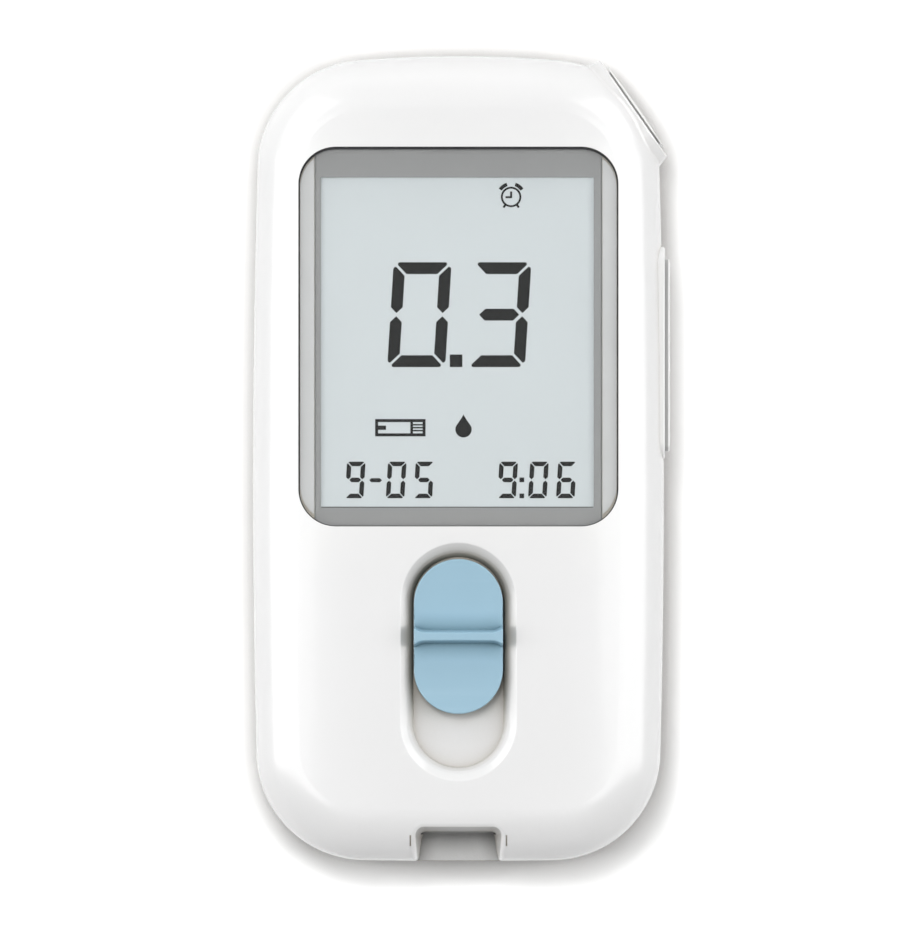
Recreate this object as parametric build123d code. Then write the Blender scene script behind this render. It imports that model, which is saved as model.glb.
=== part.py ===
from build123d import *
import math
import os

# A pocket blood glucose meter lying on its back. Millimetres. +X is right, +Y is the top end,
# +Z is towards the display. z = 0 is the flat back that it rests on.

# ---- outside shape ----
half_width = 26.5
widest_y = -3.0
half_length = 51.9
side_bow_radius = 1400.0
top_bow_radius = 160.0
low_bow_radius = 800.0
corner_radius = 14.0
face_z = 20.0
crown_radius = 280.0
flank_drop = 1.0
flank_power = 6
shoulder_radius = 6.5
back_radius = 4.5
wall = 1.8
parting_z = 10.0
parting_gap = 0.1
far = 3 * half_length
tiny = 0.001

# ---- clearances ----
fit_gap = 0.05
slide_gap = 0.1
loose_gap = 0.15

# ---- lip that registers the two covers ----
lip_outer_inset = 1.0
lip_inner_inset = 1.75
lip_height = 1.0

# ---- corner pad and its button, on a facet that faces 35 degrees up from +X ----
corner_angle = 35.0
corner_x = half_width - 3.72
corner_y = half_length - 6.66
corner_z = 9.1
facet_back = -0.18
pad_length = 14.96
pad_height = 15.6
pad_radius = 5.0
pad_flare = 15.5
pad_root = -4.0
pad_foot_radius = 0.5
pad_edge_radius = 0.25
corner_cap_length = 13.0
corner_cap_height = 11.4
corner_cap_radius = 4.0
corner_cap_back = 0.07
corner_cap_rise = 0.37
corner_dome_radius = 84.0
corner_neck_length = 11.4
corner_neck_height = 9.4
corner_neck_radius = 3.2
corner_neck_root = -1.9
corner_flange_length = 12.4
corner_flange_height = 10.4
corner_flange_back = -2.7
corner_pocket_top = -1.8
corner_pocket_depth = 6.0
corner_backing_rim = 1.0
corner_stem_length = 2.4
corner_stem_height = 1.2
corner_stem_reach = 0.9

# ---- display window ----
window_low_y = -8.76
window_high_y = half_length - 11.66
window_y = (window_low_y + window_high_y) / 2
window_width = 2 * half_width - 11.7
window_height = window_high_y - window_low_y
window_radius = 4.8
lens_recess = 0.12
lens_bottom_z = 18.35
lens_side_gap = 0.2
lens_top_gap = 0.38
lens_low_gap = 0.12
seal_gap = 0.02
seal_bottom_z = 18.27
seal_top_z = 18.5
ledge_z = 18.25
ledge_bottom_z = 17.75
window_throat = window_width - 4.2
surround_rim = 1.35
surround_end_rim = 2.3
surround_bottom_z = 16.0
tape_inset = 0.25
tape_top_z = 18.33
bezel_top_z = 18.08
bezel_overlap = 0.3
view_x = -0.15
view_y = window_y - 0.76
view_width = window_width - 6.1
view_height = window_height - 6.4
holder_width = window_width - 0.9
holder_height = window_height + 0.8
holder_radius = 2.0
lcd_width = window_width - 3.7
lcd_height = window_height - 2.5
reflector_bottom_z = 16.15
lcd_bottom_z = 16.35
lcd_middle_z = 16.95
lcd_top_z = 17.55
polariser_top_z = 17.7
polariser_trim = 0.8
reflector_trim = 0.4
lcd_contact_ledge = 2.2
zebra_width = 1.8
zebra_end_gap = 1.0

# ---- main board ----
board_bottom_z = 14.3
board_top_z = 15.3
board_inset = 2.6
board_half_width = half_width - 4.1
board_low_y = 6.9 - half_length
board_high_y = half_length - 6.3
board_top_step_y = half_length - 8.7
board_top_step_x = 12.2
board_corner_n = -4.3
board_screw_spots = [
    (10.5 - half_width, half_length - 8.5),
    (7.5 - half_width, -14.0),
    (half_width - 7.5, -14.0),
]
board_boss_radius = 1.9
board_screw_radius = 0.7
board_screw_head_radius = 1.5
board_screw_head_height = 0.9
board_screw_tip_z = 17.2
screw_tip_gap = 0.4

# ---- housing screws: the top two are under the battery door ----
low_screw_spots = [(8.5 - half_width, 9.9 - half_length), (half_width - 8.5, 9.9 - half_length)]
top_screw_spots = [(-8.5, half_length - 5.6), (8.5, half_length - 5.6)]
screw_radius = 1.0
screw_head_radius = 1.9
screw_head_height = 1.4
screw_cross_width = 0.3
screw_tip_z = 16.0
low_seat_z = 2.6
top_seat_z = 4.2
rear_boss_radius = 3.1
front_boss_radius = 2.5

# ---- battery bay, cells and door ----
cell_radius = 5.25
cell_length = 43.7
cell_edge_radius = 0.4
nub_radius = 1.9
nub_length = 0.8
cell_x = 5.7
cell_z = 7.45
spring_room = 5.3
contact_thickness = 0.4
bay_half_width = 11.6
bay_high_y = half_length - 11.1
bay_low_y = bay_high_y - cell_length - nub_length - spring_room - 2 * contact_thickness
bay_wall = 1.2
bay_roof_z = 12.9
bay_roof_top_z = 14.1
door_face_z = 0.3
door_inner_z = 1.5
door_tongue_z = 0.9
door_half_width = 12.6
door_tongue_half_width = 13.4
door_low_y = bay_low_y - 3.2
door_grip_count = 6
door_grip_pitch = 1.6
door_grip_width = 0.8
door_grip_depth = 0.3
door_grip_half_length = 7.0
door_grip_start = 4.0
door_bump_x = 9.0
door_bump_radius = 0.8
channel_half_width = 15.0
channel_end = 1.5
channel_top_z = 3.2
contact_height = 8.0
contact_width = 8.4
contact_tail_width = 1.6
contact_tail_z = 11.0
contact_tail_top_z = 15.7
battery_wire = 0.35
battery_spring_radius = 3.3
battery_spring_pitch = 1.25

# ---- ejector: slider in a sloped recess, carriage, pusher and spring ----
recess_y = -26.25
recess_floor_z = 17.7
recess_floor_width = 11.6
recess_floor_length = 27.1
recess_foot_height = 1.2
recess_foot_slope = 15.0
recess_slope = 54.0
recess_bend_radius = 2.0
recess_cut_height = 2.6
recess_bottom_z = 16.6
recess_skirt = 3.0
recess_rim_radius = 0.25
slider_y = -22.96
slider_width = 11.5
slider_length = 20.0
slider_base_z = 17.85
slider_end_z = 20.3
slider_dish_z = 19.8
slider_edge_radius = 0.15
slider_flank_slope = 12.0
slider_crest_radius = 60.0
slider_ridge_z = 21.8
slider_ridge_width = 1.0
slider_flare_radius = 1.5
slider_cut_overlap = 0.2
slider_travel = 6.5
stem_half_width = 2.0
stem_half_length = 3.0
stem_bottom_z = 15.45
stem_lip = 0.4
stem_lip_height = 0.25
stem_split = 1.0
carriage_bottom_z = 15.75
carriage_top_z = 16.45
carriage_half_width = 5.0
carriage_back_y = -17.5
carriage_front_y = -29.5
arm_half_width = 1.3
arm_back_y = -26.2
arm_front_y = -27.6
arm_tip_z = 11.3
pusher_bottom_z = 10.9
pusher_top_z = 13.6
pusher_half_width = 2.3
pusher_back_y = -20.6
pusher_front_y = -28.3
finger_half_width = 0.7
finger_low_z = 11.65
finger_high_z = 12.35
finger_tip_y = -34.6
wing_left_x = -9.8
wing_front_y = -22.2
ejector_spring_x = -8.0
ejector_spring_z = 12.2
ejector_spring_radius = 1.15
ejector_spring_wire = 0.15
ejector_spring_pitch = 1.2
spigot_length = 1.2
spring_post_y = -36.5
spring_post_thickness = 1.2

# ---- strip port ----
port_floor_z = 11.45
port_back_y = 3.5 - half_length
port_top_back_y = 4.45 - half_length
port_floor_half_width = 4.6
port_mouth_half_width = 5.35
port_top_half_width = 5.7
port_corner_radius = 1.2
port_floor_radius = 0.5
port_block_half_width = 7.3
port_block_back_y = 6.0 - half_length
guide_half_width = 4.9
guide_slab_half_width = 6.2
guide_bottom_z = 9.8
guide_top_z = 13.9
guide_front_y = 3.6 - half_length
guide_back_y = 7.15 - half_length
strip_half_width = 3.6
strip_channel_height = 1.1
strip_flare = 0.9
strip_flare_angle = 25.0
port_rim_radius = 0.6
tick_x = 6.2
tick_y = 2.6 - half_length
tick_length = 1.4
tick_width = 0.2
tick_depth = 0.2
connector_half_width = 5.2
connector_back_y = 16.7 - half_length
connector_front_y = 7.3 - half_length
connector_bottom_z = 10.9
connector_lip = 1.2
connector_roof = 0.6
contact_finger_spots = [-2.95, -1.7, 1.7, 2.95]
contact_finger_width = 0.6
contact_finger_thickness = 0.2
contact_finger_rise = 0.6
contact_finger_low = 0.35
contact_finger_tail = 1.5
contact_finger_knee = 1.0
contact_finger_reach = 3.2
rail_x = 3.8
rail_half_width = 0.6
rail_high_y = -19.0
rail_low_y = 7.5 - half_length

# ---- side rocker, its white cap and its bezel ----
key_y = 13.3
key_z = 10.2
key_length = 24.75
key_height = 5.2
key_radius = 0.8
key_back_x = half_width - 0.5
key_cap_x = half_width + 0.55
key_face_x = half_width + 0.78
key_edge_radius = 0.12
key_bezel_y = 13.63
key_bezel_length = 27.35
key_bezel_height = 9.6
key_bezel_radius = 2.2
key_bezel_edge = 0.2
key_bezel_face_x = half_width + 0.15
key_bezel_back_x = half_width - 1.9
key_lip_back_x = half_width - 2.7
key_lip = 0.75
key_window_gap = 0.15
key_pivot_x = half_width - 2.3
key_pin_radius = 0.6
key_pin_end = 3.95
key_web_half_length = 1.0
key_web_back_x = half_width - 3.05
key_ear_half_length = 1.6
key_ear_back_x = half_width - 3.3
key_ear_end = 4.4

# ---- push switches on the underside of the board ----
switch_depth = 2.2
switch_half_length = 2.3
switch_bottom_z = 10.8
switch_face_x = half_width - 4.1
switch_spread = 8.0
plunger_radius = 0.7
plunger_proud = 0.8
plunger_inside = 0.8
plunger_bore_depth = 1.25
plunger_z = 12.0
key_stem_half_width = 0.8
key_stem_half_height = 0.6

# ---- chips and sounder ----
buzzer_x = 9.5 - half_width
buzzer_y = -25.0
buzzer_radius = 4.5
buzzer_height = 2.6
buzzer_hole_radius = 0.8
buzzer_hole_depth = 0.6
processor_x = half_width - 12.5
processor_y = -25.0
processor_size = 9.0
processor_height = 1.2
signal_chip_x = connector_half_width + 4.8
signal_chip_y = 13.9 - half_length
signal_chip_size = 5.0
signal_chip_height = 1.1
crystal_x = half_width - 9.0
crystal_y = -33.0
crystal_length = 7.0
crystal_radius = 1.0


def block(x_low, x_high, y_low, y_high, z_low, z_high):
    """A block between these limits."""
    size = Box(x_high - x_low, y_high - y_low, z_high - z_low)
    return Pos((x_low + x_high) / 2, (y_low + y_high) / 2, (z_low + z_high) / 2) * size


def post(x, y, z_low, z_high, radius):
    """An upright cylinder between two heights."""
    return Pos(x, y, (z_low + z_high) / 2) * Cylinder(radius, z_high - z_low)


def lies_on(edge, faces):
    """Whether an edge runs along one of these faces all the way."""
    points = [Vertex(*(edge @ share)) for share in (0.1, 0.5, 0.9)]
    return all(min(face.distance_to(point) for face in faces) < tiny for point in points)


def soft_cut(shape, cutter, floor_z, radius):
    """Takes the cutter from the shape and rounds the rim that it leaves above floor_z."""
    cut = shape - cutter
    rim = [
        edge
        for edge in cut.edges()
        if (edge @ 0.5).Z > floor_z + tiny
        and lies_on(edge, cutter.faces())
        and lies_on(edge, shape.faces())
    ]
    return fillet(rim, radius)


def save(shape, name):
    """Writes one node."""
    shape.label = name
    export_step(shape, os.path.join("parts", name + ".step"))


cos_corner = math.cos(math.radians(corner_angle))
sin_corner = math.sin(math.radians(corner_angle))
corner_plane = Plane(
    origin=(corner_x, corner_y, corner_z),
    x_dir=(-sin_corner, cos_corner, 0),
    z_dir=(cos_corner, sin_corner, 0),
)
side_plane = Plane(origin=(0, key_y, key_z), x_dir=(0, 1, 0), z_dir=(1, 0, 0))


# ---- outside shape ----
def outline(inset):
    """The meter's plan shape, drawn in by inset: four shallow arcs with rounded corners."""
    side_center = side_bow_radius - half_width
    shape = Pos(0, half_length - top_bow_radius) * Circle(top_bow_radius - inset)
    shape &= Pos(0, low_bow_radius - half_length) * Circle(low_bow_radius - inset)
    shape &= Pos(side_center, widest_y) * Circle(side_bow_radius - inset)
    shape &= Pos(-side_center, widest_y) * Circle(side_bow_radius - inset)
    return fillet(shape.vertices(), corner_radius - inset)


def crown_point(x, inset):
    """A point of the face's cross-section, drawn in by inset along the surface's normal."""
    share = x / half_width
    drop = x**2 / (2 * crown_radius) + flank_drop * share**flank_power
    slope = x / crown_radius + flank_drop * flank_power / half_width * share ** (flank_power - 1)
    length = math.hypot(1, slope)
    return (x - inset * slope / length, face_z - drop - inset / length)


def crown(inset):
    """Everything under the gently rounded face, whose flanks fall away faster than its middle."""
    steps = 10
    reach = half_width + 2
    line = [crown_point(reach * i / steps, inset) for i in range(-steps, steps + 1)]
    top = Spline(line)
    sides = Polyline(line[-1], (line[-1][0], -1), (line[0][0], -1), line[0])
    return extrude(Plane.XZ * make_face(top + sides), far / 2, both=True)


def pebble(inset):
    """The body as one soft block, drawn in by inset all round."""
    body = Pos(0, 0, inset) * extrude(outline(inset), 2 * face_z)
    body = body & crown(inset)
    body = fillet(body.faces().sort_by(Axis.Z)[-1].edges(), shoulder_radius - inset)
    body = fillet(body.faces().sort_by(Axis.Z)[0].edges(), back_radius - inset)
    return body


def corner_pad():
    """The boss that the corner button sits in. Its ends flare towards the body."""
    flare = 2 * math.tan(math.radians(pad_flare))
    ends = [
        Pos(0, 0, n) * RectangleRounded(pad_length - flare * n, pad_height, pad_radius)
        for n in (pad_root, wall)
    ]
    return corner_plane * loft(ends)


def padded_corner(body):
    """The body with the corner boss blended in and cut to its facet."""
    pad = corner_pad()
    shape = body + pad
    foot = [
        edge
        for edge in shape.edges()
        if lies_on(edge, pad.faces()) and lies_on(edge, body.faces())
    ]
    shape = fillet(foot, pad_foot_radius)
    shape -= corner_plane * Pos(0, 0, facet_back + far / 2) * Box(far, far, far)
    facet = corner_plane * Pos(0, 0, facet_back) * Rectangle(far, far)
    rim = [edge for edge in shape.edges() if lies_on(edge, [facet])]
    return fillet(rim, pad_edge_radius)


def outside():
    """The closed outside of both covers, with the port, the recess and the corner boss."""
    shape = soft_cut(pebble(0), port_notch(), port_floor_z, port_rim_radius)
    shape = soft_cut(shape, slider_recess(), recess_floor_z, recess_rim_radius)
    return padded_corner(shape)


def lip_ring(outer_inset, inner_inset, z_low, z_high):
    """A ring that follows the outline, for the lip where the covers meet."""
    ring = outline(outer_inset) - outline(inner_inset)
    return Pos(0, 0, z_low) * extrude(ring, z_high - z_low)


def corner_opening():
    """The hole for the corner button's neck and the pocket for its flange."""
    hole = RectangleRounded(
        corner_neck_length + 2 * slide_gap, corner_neck_height + 2 * slide_gap, corner_neck_radius
    )
    pocket = RectangleRounded(
        corner_flange_length + 2 * slide_gap, corner_flange_height + 4 * slide_gap,
        corner_neck_radius,
    )
    cut = Pos(0, 0, corner_pocket_top - corner_pocket_depth) * extrude(pocket, corner_pocket_depth)
    cut += Pos(0, 0, corner_pocket_top - wall) * extrude(hole, 3 * wall)
    return corner_plane * cut


def corner_backing(gap):
    """The flat wall behind the facet that the corner button's flange rests against."""
    half_long = corner_flange_length / 2 + corner_backing_rim + gap
    half_high = corner_flange_height / 2 + corner_backing_rim + gap
    plate = block(
        -half_long, half_long, -half_high, half_high, corner_pocket_top - gap, facet_back - gap
    )
    return corner_plane * plate


def key_opening():
    """The hole for the side key's bezel and the pocket for its inner lip."""
    shift = key_bezel_y - key_y
    hole = RectangleRounded(
        key_bezel_length + 2 * fit_gap, key_bezel_height + 2 * fit_gap, key_bezel_radius
    )
    pocket = RectangleRounded(
        key_bezel_length + 2 * (key_lip + loose_gap),
        key_bezel_height + 2 * (key_lip + loose_gap),
        key_bezel_radius,
    )
    pocket_front = key_bezel_back_x + fit_gap
    pocket_back = key_ear_back_x - wall / 2
    cut = Pos(shift, 0, key_lip_back_x) * extrude(hole, half_width + wall - key_lip_back_x)
    cut += Pos(shift, 0, pocket_back) * extrude(pocket, pocket_front - pocket_back)
    return side_plane * cut


# ---- display stack ----
def window_plate(width, height, radius, z_low, z_high):
    """A plate with the window's corner shape, centred on the window."""
    plate = RectangleRounded(width, height, radius)
    return Pos(0, window_y, z_low) * extrude(plate, z_high - z_low)


def middle_band(half_band):
    """Everything between the two side ledges."""
    return block(-half_band, half_band, -half_length, half_length, 0, face_z)


def window_opening():
    """The lens recess, the throat under it and the pocket for the display holder."""
    recess = window_plate(window_width, window_height, window_radius, ledge_z, face_z + wall)
    throat = window_plate(
        window_width, window_height, window_radius, ledge_bottom_z - bezel_overlap, ledge_z
    )
    pocket = window_plate(
        holder_width + 2 * loose_gap,
        holder_height + 2 * loose_gap,
        holder_radius,
        board_top_z,
        ledge_bottom_z,
    )
    return recess + (throat & middle_band(window_throat / 2)) + pocket


def lens_outline(gap):
    """The lens's plan shape, drawn out by gap. Its spaces in the opening differ at top and bottom."""
    width = window_width - 2 * lens_side_gap + 2 * gap
    height = window_height - lens_top_gap - lens_low_gap + 2 * gap
    shift = (lens_low_gap - lens_top_gap) / 2
    return Pos(0, window_y + shift) * RectangleRounded(width, height, window_radius - lens_side_gap + gap)


def window_lens():
    lens = Pos(0, 0, lens_bottom_z) * extrude(lens_outline(0), face_z - lens_bottom_z)
    return lens & crown(lens_recess)


def lens_seal():
    """The dark rubber ring between the lens and its opening, at the foot of the gap."""
    ring = window_plate(
        window_width - 2 * seal_gap,
        window_height - 2 * seal_gap,
        window_radius - seal_gap,
        seal_bottom_z,
        seal_top_z,
    )
    return ring - Pos(0, 0, seal_bottom_z) * extrude(lens_outline(seal_gap), face_z)


def lens_tape():
    """The two strips of tape that hold the lens on its side ledges."""
    plate = window_plate(
        window_width - 2 * tape_inset,
        window_height - 2 * tape_inset - 2 * lens_top_gap,
        window_radius - tape_inset,
        ledge_z,
        tape_top_z,
    )
    return plate - middle_band(window_throat / 2 + fit_gap)


def display_bezel():
    """The grey frame round the display, with the tray that holds the glass on the board."""
    throat = window_plate(
        window_width,
        window_height - 2 * slide_gap,
        window_radius - slide_gap,
        ledge_bottom_z - bezel_overlap,
        bezel_top_z,
    )
    tray = window_plate(
        holder_width, holder_height, holder_radius, board_top_z + fit_gap, ledge_bottom_z - fit_gap
    )
    view = block(
        view_x - view_width / 2,
        view_x + view_width / 2,
        view_y - view_height / 2,
        view_y + view_height / 2,
        board_top_z,
        face_z,
    )
    glass_room = block(
        -lcd_width / 2 - slide_gap,
        lcd_width / 2 + slide_gap,
        window_y - lcd_height / 2 - slide_gap,
        window_y + lcd_height / 2 + slide_gap,
        board_top_z,
        polariser_top_z + fit_gap,
    )
    return (throat & middle_band(window_throat / 2 - slide_gap)) + tray - view - glass_room


def display_plate(low_trim, z_low, z_high, side_trim=0.0):
    """One flat layer of the display, shortened at its low end by low_trim."""
    return block(
        -lcd_width / 2 + side_trim,
        lcd_width / 2 - side_trim,
        window_y - lcd_height / 2 + low_trim,
        window_y + lcd_height / 2 - side_trim,
        z_low,
        z_high,
    )


def zebra_connector():
    """The rubber strip that joins the front glass to the board."""
    low_y = window_y - lcd_height / 2 + slide_gap
    half = lcd_width / 2 - zebra_end_gap
    return block(-half, half, low_y, low_y + zebra_width, board_top_z, lcd_middle_z)


# ---- main board ----
def main_board():
    """The board fills the body's plan, less its ends, a step, a corner and the holes."""
    plan = outline(board_inset)
    board = Pos(0, 0, board_bottom_z) * extrude(plan, board_top_z - board_bottom_z)
    board &= block(-board_half_width, board_half_width, board_low_y, board_high_y, 0, face_z)
    board -= block(
        -board_top_step_x, board_top_step_x, board_top_step_y, half_length, 0, face_z
    )
    board -= corner_plane * Pos(0, 0, board_corner_n + far / 2) * Box(far, far, far)
    for x, y in low_screw_spots:
        board -= post(x, y, 0, face_z, front_boss_radius + 3 * loose_gap)
    for x, y in board_screw_spots:
        board -= post(x, y, 0, face_z, board_screw_radius + slide_gap)
    board -= block(
        -arm_half_width - 2 * slide_gap,
        arm_half_width + 2 * slide_gap,
        arm_front_y - slider_travel - 2 * slide_gap,
        arm_back_y + 2 * slide_gap,
        0,
        face_z,
    )
    for x in (-cell_x, cell_x):
        board -= contact_tail_hole(x)
    return board


def contact_tail_hole(x):
    """The slot in the board for a battery contact's tail."""
    low_y = bay_low_y - bay_wall - 2 * contact_thickness
    half = contact_tail_width / 2 + slide_gap
    high_y = low_y + contact_thickness
    return block(x - half, x + half, low_y - slide_gap, high_y + slide_gap, 0, face_z)


# ---- battery bay, cells, contacts and door ----
def rod(x, z, y_low, y_high, radius):
    """A cylinder that lies along Y."""
    shape = Cylinder(radius, y_high - y_low)
    return Pos(x, (y_low + y_high) / 2, z) * Rot(90, 0, 0) * shape


def battery_cell(x, y_nub, nub_way):
    """A cell whose nub end is at y_nub and points along nub_way (1 is +Y)."""
    shoulder_y = y_nub - nub_way * nub_length
    flat_y = shoulder_y - nub_way * cell_length
    can = rod(x, cell_z, min(flat_y, shoulder_y), max(flat_y, shoulder_y), cell_radius)
    can = fillet(can.edges().filter_by(GeomType.CIRCLE), cell_edge_radius)
    root_y = shoulder_y - nub_way * cell_edge_radius
    return can + rod(x, cell_z, min(root_y, y_nub), max(root_y, y_nub), nub_radius)


def coil(start, length, way, radius, pitch, wire, cone=0):
    """A round wire wound about Y, from start along way (1 is +Y)."""
    path = Helix(pitch, length, radius, center=start, direction=(0, way, 0), cone_angle=cone)
    section = Plane(origin=path @ 0, z_dir=path % 0) * Circle(wire)
    return sweep(section, path=path, is_frenet=True)


def battery_spring(x, plate_y, way):
    """The spring between a contact plate and a cell's flat end."""
    room = bay_high_y - bay_low_y - 2 * contact_thickness - cell_length - nub_length
    start_y = plate_y + way * (battery_wire + fit_gap)
    length = room - 2 * battery_wire - 3 * fit_gap
    return coil(
        (x, start_y, cell_z), length, way, battery_spring_radius, battery_spring_pitch, battery_wire
    )


def end_contact(x):
    """A contact plate at the bay's low end, with its tail up to the board."""
    half = contact_width / 2
    half_height = contact_height / 2
    plate = block(
        x - half,
        x + half,
        bay_low_y,
        bay_low_y + contact_thickness,
        cell_z - half_height,
        cell_z + half_height,
    )
    half_tail = contact_tail_width / 2
    tail_y = bay_low_y - bay_wall - 2 * contact_thickness
    tab = block(
        x - half_tail,
        x + half_tail,
        tail_y,
        bay_low_y + contact_thickness,
        contact_tail_z,
        contact_tail_z + contact_thickness,
    )
    tail = block(
        x - half_tail, x + half_tail, tail_y, tail_y + contact_thickness, contact_tail_z,
        contact_tail_top_z,
    )
    return plate + tab + tail


def battery_bridge():
    half = cell_x + contact_width / 2
    half_height = contact_height / 2
    return block(
        -half,
        half,
        bay_high_y - contact_thickness,
        bay_high_y,
        cell_z - half_height,
        cell_z + half_height,
    )


def door_section(half_plate, half_tongue, low_z, tongue_low_z, high_z):
    """The door's plate and its side tongues, long enough to pass the top end."""
    plate = block(-half_plate, half_plate, door_low_y, far, low_z, high_z)
    return plate + block(-half_tongue, half_tongue, door_low_y, far, tongue_low_z, high_z)


def battery_door():
    door = door_section(
        door_half_width, door_tongue_half_width, door_face_z, door_tongue_z, door_inner_z
    )
    door &= pebble(0)
    half = door_grip_half_length
    start_y = door_low_y + door_grip_start
    for step in range(door_grip_count):
        y = start_y + door_grip_pitch * step
        door -= block(-half, half, y, y + door_grip_width, 0, door_face_z + door_grip_depth)
    for x in (-door_bump_x, door_bump_x):
        door += post(x, start_y, door_inner_z, door_inner_z + slide_gap, door_bump_radius)
    return door


def door_opening():
    """The way the door slides along, with its side grooves."""
    return Pos(0, -loose_gap, 0) * door_section(
        door_half_width + loose_gap,
        door_tongue_half_width + loose_gap,
        -wall,
        door_tongue_z - loose_gap,
        door_inner_z + loose_gap,
    )


def bay_walls():
    """The block that the battery bay and the door's grooves are cut from."""
    half = bay_half_width + bay_wall
    walls = block(
        -half, half, bay_low_y - bay_wall, bay_high_y + bay_wall, wall / 2, bay_roof_top_z
    )
    half = channel_half_width
    return walls + block(-half, half, door_low_y - channel_end, half_length, 0, channel_top_z)


def bay_room():
    """The room for the cells, with a slot for each contact's tail."""
    room = block(-bay_half_width, bay_half_width, bay_low_y, bay_high_y, 0, bay_roof_z)
    for x in (-cell_x, cell_x):
        half = contact_tail_width / 2 + slide_gap
        room += block(
            x - half,
            x + half,
            bay_low_y - bay_wall - wall,
            bay_low_y + contact_thickness,
            contact_tail_z - slide_gap,
            bay_roof_top_z + wall,
        )
    return room


# ---- ejector ----
def upright_slot(length, width):
    """A round-ended slot that runs along Y."""
    return Rot(0, 0, 90) * SlotOverall(length, width)


def slider_recess():
    """The recess in the face, whose walls roll over from a gentle slope to a steep foot."""
    plan = upright_slot(recess_floor_length, recess_floor_width)
    foot = extrude(plan, recess_foot_height, taper=-recess_foot_slope)
    upper_plan = foot.faces().sort_by(Axis.Z)[-1]
    cut = foot + extrude(upper_plan, recess_cut_height, taper=-recess_slope)
    bend = [edge for edge in cut.edges() if abs((edge @ 0.5).Z - recess_foot_height) < tiny]
    return Pos(0, recess_y, recess_floor_z) * fillet(bend, recess_bend_radius)


def stem_slot():
    """The slot in the recess's floor for the slider's stem and its travel."""
    half = stem_half_width + slide_gap
    return block(
        -half,
        half,
        slider_y - stem_half_length - slider_travel - slide_gap,
        slider_y + stem_half_length + slide_gap,
        recess_bottom_z - wall,
        recess_floor_z + wall,
    )


def recess_skirt_block():
    """The material that the recess is sunk into, under the face."""
    grow = 2 * recess_skirt
    plan = upright_slot(recess_floor_length + grow, recess_floor_width + grow)
    return Pos(0, recess_y, recess_bottom_z) * extrude(plan, face_z - recess_bottom_z)


def slider_dish():
    """What one thumb dish removes, on the +Y side of the ridge, whose ends flare out."""
    rise = slider_ridge_z - slider_dish_z
    near_y = slider_ridge_width / 2 + rise * math.tan(math.radians(slider_flank_slope))
    far_y = slider_length / 2
    wide = slider_width + 2 * slider_cut_overlap
    edge = RectangleRounded(wide, slider_length, slider_flare_radius)
    plan = Pos(0, slider_y + near_y + slider_length / 2, slider_dish_z) * edge
    prism = extrude(plan, 2 * rise, taper=-slider_flank_slope)
    floor = ThreePointArc(
        (0, slider_dish_z),
        (far_y / 2, (3 * slider_dish_z + slider_end_z) / 4),
        (far_y, slider_end_z),
    )
    lid_z = slider_dish_z + 3 * rise
    lid = Polyline(
        (far_y, slider_end_z), (2 * far_y, slider_end_z), (2 * far_y, lid_z), (0, lid_z),
        (0, slider_dish_z),
    )
    above = extrude(Plane.YZ * make_face(floor + lid), 2 * slider_width, both=True)
    return prism & Pos(0, slider_y, 0) * above


def slider_top_edges(body):
    """The edges round the slider's top and along its ridge, without the upright ones."""
    plan = upright_slot(slider_length, slider_width)
    prism = Pos(0, slider_y, 0) * extrude(plan, 2 * face_z)
    sides = prism.faces().sort_by(Axis.Z)[1:-1]
    crest_z = slider_ridge_z - 2 * slider_edge_radius
    rims = []
    for edge in body.edges():
        upright = Vector(edge % 0.5).Z > 1 - tiny or Vector(edge % 0.5).Z < tiny - 1
        if upright or (edge @ 0.5).Z < slider_base_z + slider_edge_radius:
            continue
        if lies_on(edge, sides) or min((edge @ 0).Z, (edge @ 1).Z) > crest_z:
            rims.append(edge)
    return rims


def ejector_slider():
    """The thumb slider: two dishes with a ridge between, on a split stem with hooked edges."""
    plan = upright_slot(slider_length, slider_width)
    body = Pos(0, slider_y, slider_base_z) * extrude(plan, slider_ridge_z - slider_base_z)
    crest = Rot(90, 0, 0) * Cylinder(slider_crest_radius, 2 * slider_length)
    body &= Pos(0, slider_y, slider_ridge_z - slider_crest_radius) * crest
    dish = slider_dish()
    body -= dish
    body -= mirror(dish, Plane.XZ.offset(-slider_y))
    body = fillet(slider_top_edges(body), slider_edge_radius)
    stem = block(
        -stem_half_width,
        stem_half_width,
        slider_y - stem_half_length,
        slider_y + stem_half_length,
        stem_bottom_z,
        slider_base_z,
    )
    hook = stem_half_width + stem_lip
    lip = block(
        -hook,
        hook,
        slider_y - stem_half_length,
        slider_y + stem_half_length,
        stem_bottom_z,
        stem_bottom_z + stem_lip_height,
    )
    split = block(
        -stem_split / 2,
        stem_split / 2,
        slider_y - slider_length,
        slider_y + slider_length,
        stem_bottom_z,
        recess_bottom_z,
    )
    return body + (stem + lip - split)


def ejector_carriage():
    """The plate hooked on the slider's stem, with the arm that goes down through the board."""
    plate = block(
        -carriage_half_width,
        carriage_half_width,
        carriage_front_y,
        carriage_back_y,
        carriage_bottom_z,
        carriage_top_z,
    )
    half = stem_half_width + fit_gap
    plate -= block(
        -half,
        half,
        slider_y - stem_half_length - fit_gap,
        slider_y + stem_half_length + fit_gap,
        0,
        face_z,
    )
    arm = block(
        -arm_half_width, arm_half_width, arm_front_y, arm_back_y, arm_tip_z, carriage_bottom_z
    )
    return plate + arm


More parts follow.
